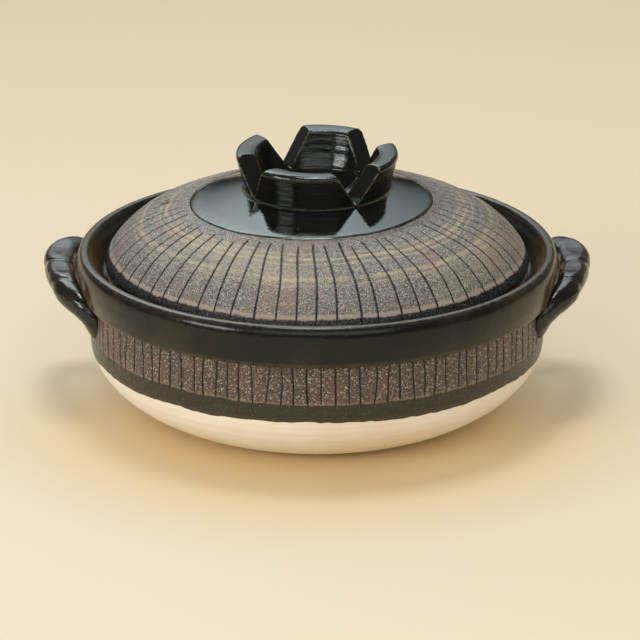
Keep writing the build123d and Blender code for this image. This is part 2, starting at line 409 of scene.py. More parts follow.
bandLook = {
    "dark": (0.020, 0.014, 0.010),
    "brown": (0.088, 0.054, 0.040),
    "grey": (0.130, 0.105, 0.086),
    "rose": (0.150, 0.074, 0.056),
    "grain": (0.46, 0.40, 0.32),
    "olive": (0.024, 0.020, 0.0115),
    "streak": (0.05, 0.042, 0.026),
    "lowEdge": (0.07, 0.05, 0.028),
    "edge": (0.24, 0.18, 0.12),
    "line": (0.006, 0.006, 0.005),
    "shine": 1.5,
    "roughness": 0.36,
    "brownScale": 800, "greyScale": 1000, "roseScale": 34, "grainScale": 720,
    "gritRelief": 0.0005, "grainRelief": 0.00014,
    "edgeRagged": 0.0012, "edgeWander": 0.0032,     # metres that the slip's edge strays
}


def makeBodySlip(name, look, band):
    # the incised brown belt, the plain olive glaze under it, their edges, and a line of painted shadow under
    # the collar
    material, start, place, shader = startMaterial(name, {"IOR": look["shine"]})
    x, y, z, radius = polar(place)
    groove = attribute(start, "line")
    ground, pale = speckle(place, look)
    wander = (streaksOn(x, y, radius, 7.0, 0.0, 3, 0.6) - 0.5) * look["edgeWander"]
    drift = wander + (noiseOn(place, 500, 3, 0.7) - 0.5) * look["edgeRagged"]
    height = z + drift
    slipLow, top, low = band["slipLow"], band["top"], band["low"]
    below = rise(height, (slipLow + 0.5) * mm, (slipLow - 0.5) * mm)
    edgeLine = rise(height, (slipLow + 2.0) * mm, (slipLow + 0.6) * mm) * (1 - below)
    color = blendColor(edgeLine * 0.5, ground, look["edge"])
    streak = rise(streaksOn(x, y, radius, 6.0, z * 420, 3, 0.7), 0.5, 0.75)
    plain = blendColor(streak * 0.5, look["olive"], look["streak"])
    plain = blendColor(rise(cellsOn(place, 500), 0.16, 0.06) * 0.5, plain, look["grain"])
    color = blendColor(below, color, plain)
    # painted shadow: a dark line at the belt's top, under the collar's edge
    collarShadeLine = rise(height, (top - 1.3) * mm, (top - 0.3) * mm)
    color = blendColor(collarShadeLine * 0.6, color, look["line"])
    lowEdge = rise(z + drift * 0.3, (low + 2.6) * mm, (low + 0.6) * mm)
    color = blendColor(lowEdge * 0.45, color, look["lowEdge"])
    color = blendColor(rise(groove, 0.25, 0.62), color, look["line"])
    plug(color, shader, "Base Color")
    uneven = (noiseOn(place, 420, 3) - 0.5) * 0.3
    rough = look["roughness"] + uneven - below * 0.08 - rise(groove, 0.3, 0.7) * 0.12
    plug(rough, shader, "Roughness")
    under = bumpFrom(noiseOn(place, 380, 4, 0.7), look["gritRelief"], 0.8)
    under = bumpFrom(pale, look["grainRelief"], 0.8, under)
    plug(under, shader, "Normal")
    return material


clayLook = {
    "clay": (0.88, 0.82, 0.72),
    "warm": (0.84, 0.745, 0.60),
    "speck": (0.19, 0.14, 0.095),
    "smoke": (0.52, 0.47, 0.42),
    "shine": 1.45,
    "roughness": 0.72,
    "warmScale": 22, "speckScale": 260, "pitScale": 340, "grainScale": 900,
    "turningRelief": 0.00045, "grainRelief": 0.00022, "pitRelief": 0.0004,
}


def makeClay(name, look):
    # bare pale clay with throwing lines, iron specks and a little soot
    material, start, place, shader = startMaterial(name, {"IOR": look["shine"]})
    x, y, z, radius = polar(place)
    warmth = rise(noiseOn(place, look["warmScale"], 4, 0.6), 0.40, 0.70)
    color = blendColor(warmth, look["clay"], look["warm"])
    turned = streaksOn(x, y, radius, 2.2, z * 520 + radius * 260, 3, 0.6)
    color = blendColor(rise(turned, 0.5, 0.78) * 0.3, color, look["warm"])
    specks = rise(cellsOn(place, look["speckScale"]), 0.085, 0.04) * rise(noiseOn(place, 70, 2), 0.5, 0.6)
    color = blendColor(specks * 0.7, color, look["speck"])
    smudge = rise(streaksOn(x, y, radius, 9.0, z * 160, 4, 0.7), 0.69, 0.78)
    color = blendColor(smudge * 0.5, color, look["smoke"])
    plug(color, shader, "Base Color")
    plug(look["roughness"] + noiseOn(place, 600, 2) * 0.16, shader, "Roughness")
    pits = rise(cellsOn(place, look["pitScale"]), 0.13, 0.04) * rise(noiseOn(place, 120, 2), 0.48, 0.6)
    under = bumpFrom(turned, look["turningRelief"], 0.7)
    under = bumpFrom(noiseOn(place, look["grainScale"], 3, 0.7), look["grainRelief"], 0.7, under)
    under = bumpFrom(1 - pits, look["pitRelief"], 1.0, under)
    plug(under, shader, "Normal")
    return material


# widths and places are in line widths, heights are shares of the line's depth
lineShape = {"columns": [0, 0.45, 0.9, 1.45], "cutWidth": 0.62, "rimHeight": 0.22, "rimPlace": 1.25,
             "rimWidth": 0.45, "inkWidth": 0.75}


class Incisions:
    # hand-drawn lines that cross a band; each leans and wavers a little
    def __init__(self, shape):
        rng = random.Random(shape["seed"])
        self.count = count = shape["lines"]
        step = fullTurn / count
        jitter, lean = shape["jitter"], shape["lean"]
        self.centre = np.array([(k + rng.uniform(-jitter, jitter)) * step for k in range(count)])
        self.lean = np.array([rng.gauss(0, lean) for k in range(count)])
        self.bend = np.array([rng.gauss(0, lean * 0.35) for k in range(count)])
        self.early = np.array([rng.uniform(-1, 1) for k in range(count)])
        self.late = np.array([rng.uniform(-1, 1) for k in range(count)])
        self.force = np.array([rng.uniform(0.72, 1.15) for k in range(count)])
        self.depth, self.width, self.perLine = shape["depth"], shape["lineWidth"], shape["perLine"]

    def place(self, points, along):
        # moves the spun columns so that some lie in each line; along is 0..1 down the band
        perLine, columns = self.perLine, self.count * self.perLine
        radius = np.hypot(points[:, 0], points[:, 1])
        angle = np.mod(np.arctan2(points[:, 1], points[:, 0]), fullTurn)
        index = np.mod(np.rint(angle / fullTurn * columns).astype(int), columns)
        line, part = index // perLine, index % perLine
        following = (line + 1) % self.count
        here = self.centre[line]
        gap = np.mod(self.centre[following] - here, fullTurn) * radius
        near = np.array(lineShape["columns"]) * self.width * mm
        last = len(near) - 1
        close = near[np.minimum(np.minimum(part, perLine - part), last)]
        spread = near[last] + (gap - 2 * near[last]) * (part - last) / max(1, perLine - 2 * last)
        offset = np.where(part <= last, close, np.where(part >= perLine - last, gap - close, spread))
        share = offset / np.maximum(gap, 1e-9)
        wave = np.sin(along * math.pi)
        shift = (self.lean[line] * (along - 0.5) + self.bend[line] * wave) * (1 - share) \
            + (self.lean[following] * (along - 0.5) + self.bend[following] * wave) * share
        angle = here + (offset + shift * mm) / np.maximum(radius, 1e-6)
        moved = points.copy()
        moved[:, 0], moved[:, 1] = radius * np.cos(angle), radius * np.sin(angle)
        nearest = np.where(share > 0.5, following, line)
        distance = np.where(share > 0.5, gap - offset, offset) / mm / self.width
        return moved, nearest, distance

    def profile(self, distance, strength):
        # how deep the line is cut, and how high the clay is pushed up beside it
        cut = np.exp(-(distance / lineShape["cutWidth"]) ** 2)
        rim = np.exp(-((distance - lineShape["rimPlace"]) / lineShape["rimWidth"]) ** 2)
        return (rim * lineShape["rimHeight"] - cut) * self.depth * strength

    def ink(self, obj, distance, strength):
        # how much of the dark line shows, for the materials
        paint(obj, "line", np.exp(-(distance / lineShape["inkWidth"]) ** 2) * np.clip(strength, 0, 1))


viewLook = {"lens": 168.75, "sensor": 36, "distance": 1.853, "elevation": 20.76, "aimHeight": 0.0497,
            "side": 0.0018, "clipEnd": 30}


def makeCamera(look):
    tilt = math.radians(look["elevation"])
    camera = bpy.data.objects.new("camera", bpy.data.cameras.new("camera"))
    camera.data.lens = look["lens"]
    camera.data.sensor_width = look["sensor"]
    camera.data.clip_end = look["clipEnd"]
    camera.location = (look["side"], -math.cos(tilt) * look["distance"],
                       look["aimHeight"] + math.sin(tilt) * look["distance"])
    camera.rotation_euler = (math.pi / 2 - tilt, 0, 0)
    scene.collection.objects.link(camera)
    scene.camera = camera
    print("camera is set")


# metres; near is a painted warm shadow on the floor in front of the pot, and the floor is painted a little
# darker to the right as painted shade
floorLook = {"left": (0.80, 0.725, 0.555), "right": (0.79, 0.705, 0.515), "back": (0.80, 0.70, 0.50),
             "near": (0.80, 0.60, 0.325), "size": 12, "roughness": 0.85, "shine": 1.25}


def makeFloor(look):
    bm = bmesh.new()
    bmesh.ops.create_grid(bm, x_segments=1, y_segments=1, size=look["size"] / 2)
    floor = meshObject("floor", bm)
    constants = {"Roughness": look["roughness"], "IOR": look["shine"]}
    material, start, place, shader = startMaterial("paper", constants)
    x, y, z, radius = polar(place)
    # painted shade: the floor is a little darker towards the right, and warmer towards the back
    color = blendColor(rise(x, -0.25, 0.45), look["left"], look["right"])
    color = blendColor(rise(y, -0.1, 0.8), color, look["back"])
    # painted warm shadow on the floor in front of the pot
    color = blendColor(rise(radius, 0.25, 0.11) * rise(y, 0.06, -0.09) * 0.9, color, look["near"])
    plug(color, shader, "Base Color")
    floor.data.materials.append(material)
    print("floor is laid")


# places and sizes in metres; a glow is how bright a lamp looks, whatever its size
lightLook = {
    "aim": (0, 0, 0.08),
    "lamps": {
        "window": {"place": (-1.5, -1.25, 0.74), "size": (0.8, 0.42), "glow": 10.0,
                   "color": (1.0, 0.97, 0.94)},
        "ceiling": {"place": (-0.05, 0.1, 2.0), "size": (0.62, 0.5), "glow": 13.0,
                    "color": (1.0, 0.98, 0.96)},
        "front": {"place": (0.1, -2.3, 1.3), "size": (3.0, 1.2), "glow": 1.2, "color": (1.0, 0.97, 0.93)},
    },
    "skyColor": (1.0, 0.97, 0.92),
    "skyStrength": 0.62,
    "skyInGloss": 0.14,
}


def makeLights(look):
    for name, values in look["lamps"].items():
        lamp = bpy.data.lights.new(name, "AREA")
        lamp.shape = "RECTANGLE"
        lamp.size, lamp.size_y = values["size"]
        lamp.energy = values["glow"] * math.pi * lamp.size * lamp.size_y
        lamp.color = values["color"]
        obj = bpy.data.objects.new(name, lamp)
        obj.location = values["place"]
        obj.rotation_euler = (Vector(look["aim"]) - obj.location).to_track_quat("-Z", "Y").to_euler()
        scene.collection.objects.link(obj)
    scene.world = scene.world or bpy.data.worlds.new("sky")
    scene.world.use_nodes = True
    sky = scene.world.node_tree.nodes["Background"]
    sky.inputs["Color"].default_value = (*look["skyColor"], 1)
    inGloss = Wire(scene.world.node_tree).node("ShaderNodeLightPath", output="Is Glossy Ray")
    plug(look["skyStrength"] + inGloss * (look["skyInGloss"] - look["skyStrength"]), sky, "Strength")
    print("lights are set")


# metres; fall is the card's brightness at shares of its height
cardLook = {
    "low": (-0.2, 1.9, 0.15), "high": (-0.2, 0.9, 2.2), "width": 1.9, "glow": 7.0, "tint": (0.88, 0.98, 1.0),
    "fall": [(0.0, 0.0), (0.1, 0.03), (0.2, 0.11), (0.3, 0.20), (0.45, 0.40), (0.6, 0.64), (0.75, 0.95),
             (1.0, 1.0)],
    "sideways": 0.55,       # how much darker its painted glow is towards its right
}


def makeCard(look):
    # a leaning card behind the pot that glows, its glow painted dark below and bright on top as if lit from
    # above
    low, high = Vector(look["low"]), Vector(look["high"])
    height = (high - low).length
    bm = bmesh.new()
    bmesh.ops.create_grid(bm, x_segments=1, y_segments=1, size=0.5)
    bmesh.ops.scale(bm, vec=(look["width"], height, 1), verts=bm.verts)
    card = meshObject("card", bm)
    card.location = (low + high) / 2
    card.rotation_euler = (math.pi - math.atan2(high.z - low.z, low.y - high.y), 0, 0)
    constants = {"Base Color": (0, 0, 0, 1), "Emission Strength": look["glow"], "Specular IOR Level": 0}
    material, start, place, shader = startMaterial("glowingCard", constants)
    x, y, z, radius = polar(place)
    stops = [(share, tuple(c * level for c in look["tint"])) for share, level in look["fall"]]
    fall = y.node("ShaderNodeValToRGB", {"stops": stops}, {0: y / height + 0.5})
    glow = blendColor(rise(x, -0.8, 1.0) * look["sideways"], fall, (0.0, 0.0, 0.0))
    plug(glow, shader, "Emission Color")
    card.data.materials.append(material)
    card.visible_diffuse = False        # it is there for the glaze to mirror
    print("card is set up")


potShape = {
    "columns": 512,
    "collar": [(139.3, 73.9), (141.5, 74.2), (143.6, 74.5), (145.0, 75.6), (145.5, 77.5)],
    "side": [(145.5, 77.5), (146.6, 83.0), (147.0, 88.5), (146.9, 93.0), (146.0, 96.6), (144.4, 98.8),
             (142.2, 99.5), (140.3, 99.0), (139.0, 97.2), (138.2, 94.5)],
    "mouth": [(138.2, 94.5), (136.2, 90.8), (134.2, 87.2), (132.6, 84.6), (130.2, 83.5)],
    "ledge": [(130.2, 83.5), (126.5, 83.5), (124.2, 83.4)],
    "throat": [(124.2, 83.4), (123.4, 82.6), (123.2, 79.5), (123.4, 74.0), (126.8, 68.5), (130.2, 63.0),
               (130.5, 58.0)],
    "inside": [(130.5, 58.0), (130.5, 50.0), (130.4, 40.0), (126.9, 33.0), (121.9, 27.8), (116.1, 23.5),
               (109.9, 19.8), (96.7, 13.8), (83.0, 9.9), (60.0, 9.4), (30.0, 9.4), (0.0, 9.4)],
    "hidden": [(0.0, 6.6), (60.0, 6.6), (84.0, 7.2), (100.0, 12.2), (116.0, 20.2), (127.0, 30.0),
               (133.4, 42.0), (134.6, 60.0), (134.8, 72.6), (139.3, 73.9)],
    "wobble": 0.28, "sink": 0.12,
    "outerHeights": (73.5, 77), "outerRadii": (131, 138),       # where the collar begins to waver
    # where the glaze thins, and on the lip a painted highlight along the crest: place, how wide, where it
    # begins and how much
    "lip": {"radius": 142.4, "width": 2.6, "heights": (96.5, 98.6), "thin": 0.5},
    "collarFoot": {"height": 76.0, "width": 1.3, "radii": (142, 144), "thin": 0.3},
}


def wobbleOf(points):
    # thrown clay is never quite round: a slow waver round the pot and up it
    turn, up = turnOf(points), points[:, 2] / mm / 120
    return gridNoise((7, 5), 3)(turn, up) + gridNoise((31, 40), 4)(turn, up) * 0.18


def makePotGlaze(shape, glaze):
    outline = outlineOf((shape["hidden"], 9), (shape["collar"], 0.8), (shape["side"], 1.2),
                        (shape["mouth"], 1.2), (shape["ledge"], 1.8), (shape["throat"], 1.6),
                        (shape["inside"], 3.2))
    pot = meshObject("potGlaze", lathe(outline, shape["columns"], False))
    points = readPoints(pot, "co")
    radius, height = outOf(points), points[:, 2] / mm
    outer = fade(height, *shape["outerHeights"]) * fade(radius, *shape["outerRadii"])
    swell(points, wobbleOf(points) * shape["wobble"] * outer - shape["sink"] * outer)
    movePoints(pot, points)
    lip, foot = shape["lip"], shape["collarFoot"]
    # a pale line along the lip's crest: thinned glaze, and partly a painted highlight
    crest = np.exp(-((radius - lip["radius"]) / lip["width"]) ** 2) * fade(height, *lip["heights"])
    lower = np.exp(-((height - foot["height"]) / foot["width"]) ** 2) * fade(radius, *foot["radii"])
    paint(pot, "thin", np.clip(crest * lip["thin"] + lower * foot["thin"], 0, 1))
    dress(pot, glaze, "pot", "black_glaze", "pot_bowl")
    print("collar and inside are turned")


bandShape = {
    "lines": 113, "perLine": 10, "seed": 21, "jitter": 0.17, "lean": 1.1, "depth": 0.75, "lineWidth": 0.8,
    "outside": [(138.9, 74.25), (139.6, 72.6), (139.9, 66.0), (140.15, 56.0), (139.95, 47.0),
                (139.62, 41.0), (139.5, 39.4)],
    "foot": [(139.5, 39.4), (139.35, 38.8), (138.9, 38.5)],
    "hidden": [(138.9, 38.5), (137.0, 40.5), (136.9, 56.0), (137.0, 73.0), (138.9, 74.25)],
    "top": 74.0, "slipLow": 50.0, "low": 39.2,
    "slipStep": 0.22, "sink": 0.2, "waver": 0.25, "rough": 0.06,
    "faceRadii": (137.2, 138.6), "waverHeights": (39, 46), "roughHeights": (38, 75),
    "lineTop": (73.6, 72.4), "lineEnd": 49.4, "endStray": 1.1,
    "ragged": (0.75, 0.35), "raggedHeights": (43.0, 39.0),      # slow and quick waver of the lower glaze line
}


def makeBand(shape, slip):
    outline = outlineOf((shape["outside"], 1.5), (shape["foot"], 0.5), (shape["hidden"], 6))
    band = meshObject("potBand", lathe(outline[:-1], shape["lines"] * shape["perLine"], True))
    points = readPoints(band, "co")
    height = points[:, 2] / mm
    slipLow = shape["slipLow"]
    lines = Incisions(shape)
    along = (shape["top"] - height) / (shape["top"] - slipLow)
    points, nearest, distance = lines.place(points, np.clip(along, 0, 1.3))
    turn = turnOf(points)
    onFace = fade(outOf(points), *shape["faceRadii"])
    end = shape["lineEnd"] + lines.late[nearest] * shape["endStray"]
    drawn = fade(height, end - 0.5, end + 0.8) * fade(height, *shape["lineTop"])
    strength = lines.force[nearest] * drawn * onFace
    slipStep = shape["slipStep"] * fade(height, slipLow - 0.7, slipLow + 0.5)
    low, high = shape["roughHeights"]
    rough = gridNoise((260, 24), 8)(turn, (height - low) / (high - low)) * shape["rough"]
    waver = wobbleOf(points) * shape["waver"] * fade(height, *shape["waverHeights"])
    swell(points, lines.profile(distance, strength) + (slipStep - shape["sink"] + rough + waver) * onFace)
    slow, quick = shape["ragged"]
    ragged = gridNoise((46, 2), 12)(turn, 0 * turn) * slow + gridNoise((210, 2), 13)(turn, 0 * turn) * quick
    points[:, 2] += ragged * fade(height, *shape["raggedHeights"]) * mm
    movePoints(band, points)
    lines.ink(band, distance, strength)
    dress(band, slip, "pot", "brown_slip", "pot_bowl")
    print("belt is incised")


baseShape = {
    "columns": 400,
    "under": [(0.0, 1.4), (40.0, 1.4), (76.0, 1.4), (79.0, 1.35)],
    "ring": [(79.0, 1.35), (80.4, 0.0)],
    "stand": [(80.4, 0.0), (86.0, 0.0), (91.2, 0.0)],
    "belly": [(91.2, 0.0), (93.4, 0.45), (99.6, 2.45), (107.0, 5.6), (114.1, 9.35), (120.8, 13.8),
              (127.0, 18.9), (132.4, 24.9), (136.6, 31.7), (139.1, 39.0), (139.15, 41.0)],
    "hidden": [(139.15, 41.0), (137.4, 41.6), (133.4, 41.4), (127.2, 29.4), (116.0, 19.6), (100.0, 11.7),
               (84.0, 6.9), (60.0, 6.2), (0.0, 6.2)],
    "rings": 0.14, "lumps": 0.05,       # relief left by the turning
    "footHeights": (1.5, 5), "footRadii": (84, 96), "topHeights": (41.2, 38), "turnedHeight": 42,
    "wallFoot": (83.5, 7.0), "wallSlope": 1.4,      # a line between the belly and the hidden wall behind it
}


def makeBase(shape, clay):
    outline = outlineOf((shape["under"], 5), (shape["ring"], 0.7), (shape["stand"], 2.5),
                        (shape["belly"], 1.0), (shape["hidden"], 9))
    base = meshObject("potBase", lathe(outline, shape["columns"], False))
    points = readPoints(base, "co")
    radius, height, turn = outOf(points), points[:, 2] / mm, turnOf(points)
    face = fade(height, *shape["footHeights"]) * fade(height, *shape["topHeights"])
    face *= fade(radius, *shape["footRadii"])
    up = height / shape["turnedHeight"]
    rings = gridNoise((5, 26), 17)(turn, up) * shape["rings"]
    lumps = gridNoise((60, 30), 18)(turn, up) * shape["lumps"]
    footRadius, footHeight = shape["wallFoot"]
    behind = (height > footHeight - 0.5) & (radius < footRadius + (height - footHeight) * shape["wallSlope"])
    swell(points, np.where(behind, 0, (rings + lumps - shape["rings"]) * face))
    movePoints(base, points)
    dress(base, clay, "pot", "white_clay", "pot_bowl")
    print("base is turned")


lidShape = {
    "domeTop": 139.8, "domeFoot": 97.8, "domeRadius": 126.8,
    "domeShares": [(0, 1), (0.175, 0.975), (0.35, 0.9), (0.58, 0.717), (0.77, 0.531), (0.882, 0.357),
                   (0.96, 0.148), (1, 0)],
    "discRadius": 73.6, "discShift": -3.4, "shiftFrom": (44, 70), "shiftTo": (118, 78),
    "discWave": 0.10, "waveRadii": (8, 30), "discThin": 0.55, "bandEdge": 127.0, "slipThick": 0.22,
    "lines": 64, "perLine": 12, "seed": 7, "jitter": 0.12, "lean": 1.6, "depth": 0.85, "lineWidth": 0.9,
    "ochreRings": [(87.0, 1.6, 0.55), (91.4, 2.0, 0.9), (95.6, 1.3, 0.7), (101.0, 0.9, 0.3),
                   (107.0, 2.2, 0.7), (111.0, 1.2, 0.45)],          # radius, width, strength
    "flangeTop": 125.6,
    "flange": [(126.8, 97.9), (127.8, 96.3), (129.0, 93.9), (129.65, 91.8)],
    "flangeFoot": [(129.2, 91.2), (127.4, 91.0)],
    "rebate": [(125.5, 91.2), (128.6, 91.0), (129.55, 91.2), (129.2, 88.2), (128.7, 85.0)],
    "foot": [(128.7, 85.0), (128.2, 84.0), (127.2, 83.8), (125.6, 83.8), (124.4, 84.1), (123.7, 85.0)],
    "inside": [(123.7, 85.0), (121.8, 90.0), (119.9, 94.8), (115.1, 100.4), (105.8, 108.3), (92.3, 114.8),
               (69.5, 121.8), (42.0, 128.5), (21.0, 131.3), (0.0, 132.2)],
    "lumps": 0.10, "tooling": 0.13, "blotches": 0.28, "blotchRadii": (83, 76),
    "lineStart": 78.5, "startStray": 3.2, "lineEnd": 94.2, "endStray": 1.2,     # a radius, then a height
    "faceEdge": 126.6, "flangeHeights": (91.4, 92.2), "lineReach": 129,
    "thinHeights": (84.6, 84.0), "thinRadii": (121, 123),
    "hole": {"turn": 172, "out": 93.6, "radius": 3.5, "height": 118, "length": 60, "sides": 48},
}


def domeHeights(shape):
    radius, foot, top = shape["domeRadius"], shape["domeFoot"], shape["domeTop"]
    line = smoothLine([(a * radius, foot + b * (top - foot)) for a, b in shape["domeShares"]], 1.5)
    across = np.array([p[0] for p in line])
    up = np.array([p[1] for p in line])
    return lambda r: np.interp(r, across, up)


dome = domeHeights(lidShape)


def domeRun(start, end, sink, steps):
    # a run of outline points that follow the dome at some depth
    return [(r, float(dome(r)) - sink) for r in np.linspace(start, end, steps + 1)]


def shiftDisc(points, shape):
    # the glazed disc and its border were set a little to one side of the lid's middle
    radius = outOf(points)
    weight = fade(radius, *shape["shiftFrom"]) * fade(radius, *shape["shiftTo"])
    points[:, 0] += shape["discShift"] * weight * mm
    points[:, 2] += (dome(outOf(points)) - dome(radius)) * mm
    return points


def makeDisc(shape, glaze):
    edge = shape["discRadius"]
    rimHeight = float(dome(edge))
    top = domeRun(0, edge - 0.5, 0.0, 33)
    rim = [(edge - 0.2, rimHeight - 0.25), (edge, rimHeight - 0.7)]
    under = domeRun(edge - 1.5, 0, 2.6, 12)
    disc = meshObject("lidDisc", lathe(top + rim + under, 320, False))
    points = shiftDisc(readPoints(disc, "co"), shape)
    radius = outOf(points)
    wave = gridNoise((9, 12), 31)(turnOf(points), radius / 80) * shape["discWave"]
    points[:, 2] += wave * fade(radius, *shape["waveRadii"]) * mm
    movePoints(disc, points)
    paint(disc, "thin", shape["discThin"] * fade(radius, edge - 6.5, edge - 2.5))
    dress(disc, glaze, "lid", "black_glaze", "lid_dome")
    print("disc is glazed")


def steamHole(hole):
    bm = bmesh.new()
    turn = math.radians(hole["turn"])
    place = Vector((hole["out"] * math.cos(turn), hole["out"] * math.sin(turn), hole["height"])) * mm
    bmesh.ops.create_cone(bm, cap_ends=True, segments=hole["sides"], radius1=hole["radius"] * mm,
                          radius2=hole["radius"] * mm, depth=hole["length"] * mm,
                          matrix=Matrix.Translation(place))
    return meshObject("holeCutter", bm)


def makeLidBand(shape):
    edge, slipThick, flangeTop = shape["discRadius"], shape["slipThick"], shape["flangeTop"]
    rimHeight = float(dome(edge))
    start = [(edge + 0.2, rimHeight - 0.9), (edge + 0.45, rimHeight - 0.1),
             (edge + 1.1, float(dome(edge + 1)) + slipThick)]
    face = domeRun(edge + 2.2, flangeTop, -slipThick, 43)
    flange = smoothLine([face[-1]] + shape["flange"], 0.9)[1:]
    inner = domeRun(122.5, edge + 1.5, 3.2, 12)
    outline = start + face + flange + shape["flangeFoot"] + inner
    band = meshObject("lidBand", lathe(outline, shape["lines"] * shape["perLine"], True))
    points = readPoints(band, "co")
    radius, height = outOf(points), points[:, 2] / mm
    lines = Incisions(shape)
    along = (radius - edge) / (shape["lineReach"] - edge)
    points, nearest, distance = lines.place(points, np.clip(along, 0, 1))
    onDome = fade(height, dome(radius) - 1.8, dome(radius) - 0.9)
    onFace = np.where(radius < shape["faceEdge"], onDome, fade(height, *shape["flangeHeights"]))
    begin = shape["lineStart"] + lines.early[nearest] * shape["startStray"]
    end = shape["lineEnd"] + lines.late[nearest] * shape["endStray"]
    drawn = fade(radius, begin - 1, begin + 3) * fade(height, end - 1, end + 0.8)
    strength = lines.force[nearest] * drawn * onFace
    turn, across = turnOf(points), (radius - 70) / 60
    lumps = gridNoise((190, 60), 41)(turn, across) * shape["lumps"]
    tooling = gridNoise((7, 52), 42)(turn, across) * shape["tooling"]
    blotches = gridNoise((90, 14), 43)(turn, across) * shape["blotches"] * fade(radius, *shape["blotchRadii"])
    points[:, 2] += (lines.profile(distance, strength) + (lumps + tooling + blotches) * onFace) * mm
    movePoints(band, shiftDisc(points, shape))
    lines.ink(band, distance, strength)
    return band


def makeLidUnder(shape):
    top = domeRun(0, 121.5, 3.5, 15)
    rebate = smoothLine([top[-1]] + shape["rebate"], 1.2)[1:]
    foot = smoothLine(shape["foot"], 0.7)[1:]
    inside = smoothLine(shape["inside"], 2.4)[1:]
    return meshObject("lidUnder", lathe(top + rebate + foot + inside, 360, False))


def finishLid(shape, band, under, slip, glaze):
    cutter = steamHole(shape["hole"])
    for obj in (band, under):
        cutAway(obj, cutter)
    bpy.data.objects.remove(cutter)
    points = readPoints(under, "co")
    thin = fade(points[:, 2] / mm, *shape["thinHeights"]) * fade(outOf(points), *shape["thinRadii"])
    paint(under, "thin", thin)
    dress(band, slip, "lid", "brown_slip", "lid_dome")
    dress(under, glaze, "lid", "black_glaze", "lid_dome")
    print("lid is incised and pierced")


knobShape = {
    "bed": [(31.2, 128.5), (48.6, 128.5)],
    "outer": [(48.6, 128.5), (47.2, 132.6), (45.8, 135.4), (45.0, 137.6), (45.3, 140.8), (47.2, 149.0),
              (49.3, 157.2)],
    "crown": [(49.3, 157.2), (48.6, 159.0), (46.6, 160.0), (44.0, 160.1), (40.2, 159.8), (37.6, 158.8),
              (36.9, 157.6)],
    "inner": [(36.9, 157.6), (34.6, 149.0), (32.0, 141.2), (30.9, 138.6), (29.9, 137.0), (31.2, 128.5)],
    "notches": [-58.4, 36.0, 121.6, -148.4], "notchWidth": 33.0, "notchDepth": 23.6, "notchSlope": 11.7,
    "overrun": 30.0, "cutterLength": 90.0,
    "foot": 44.4, "crest": 160.1, "tilt": 2.2, "pivot": 139.8, "voxel": 0.62,
    "throwing": 0.10, "lumps": 0.03, "throwingHeights": (136, 140),
    "wornAndGlint": 0.8, "wornAndGlintHeights": (142, 145),
}
wornAndGlintBend = (120, 420)       # how sharp an edge is where the glaze begins to run thinner and a painted highlight begins, and where both are strongest


def edgeWearAndGlint(obj, spread):
    # 0..1 where the surface turns sharply outwards, spread a little along the mesh
    points, normals = readPoints(obj, "co"), readPoints(obj, "normal")
    mesh = obj.data
    pairs = np.zeros(len(mesh.edges) * 2, np.int32)
    mesh.edges.foreach_get("vertices", pairs)
    a, b = pairs.reshape(-1, 2).T
    run = points[b] - points[a]
    length = np.linalg.norm(run, axis=1) + 1e-9
    turn = np.sum((normals[b] - normals[a]) * run, axis=1) / length / length
    total = np.zeros(len(points))
    count = np.zeros(len(points))
    for ends in (a, b):
        np.add.at(total, ends, turn)
        np.add.at(count, ends, 1)
    bend = total / np.maximum(count, 1)
    for step in range(spread):
        mixed = np.zeros(len(points))
        np.add.at(mixed, a, bend[b])
        np.add.at(mixed, b, bend[a])
        bend = bend * 0.5 + mixed / np.maximum(count, 1) * 0.5
    return fade(bend, *wornAndGlintBend)


def notchCutter(turn, shape):
    # a wedge whose bottom edge climbs inwards along the dome
    bm = bmesh.new()
    height = shape["notchDepth"] + shape["overrun"]
    half = height * shape["notchWidth"] / 2 / shape["notchDepth"]
    corners = [bm.verts.new((0, y * mm, z * mm)) for y, z in ((0, 0), (half, height), (-half, height))]
    face = bm.faces.new(corners)
    grown = bmesh.ops.extrude_face_region(bm, geom=[face])["geom"]
    bmesh.ops.translate(bm, verts=[v for v in grown if isinstance(v, bmesh.types.BMVert)],
                        vec=(shape["cutterLength"] * mm, 0, 0))
    bmesh.ops.translate(bm, verts=bm.verts, vec=(-shape["foot"] * mm, 0, 0))
    bmesh.ops.recalc_face_normals(bm, faces=bm.faces)
    place = Matrix.Rotation(math.radians(turn), 4, "Z") \
        @ Matrix.Translation((shape["foot"] * mm, 0, (shape["crest"] - shape["notchDepth"]) * mm)) \
        @ Matrix.Rotation(math.radians(shape["notchSlope"]), 4, "Y")
    bmesh.ops.transform(bm, matrix=place, verts=bm.verts)
    return meshObject("notchCutter", bm)


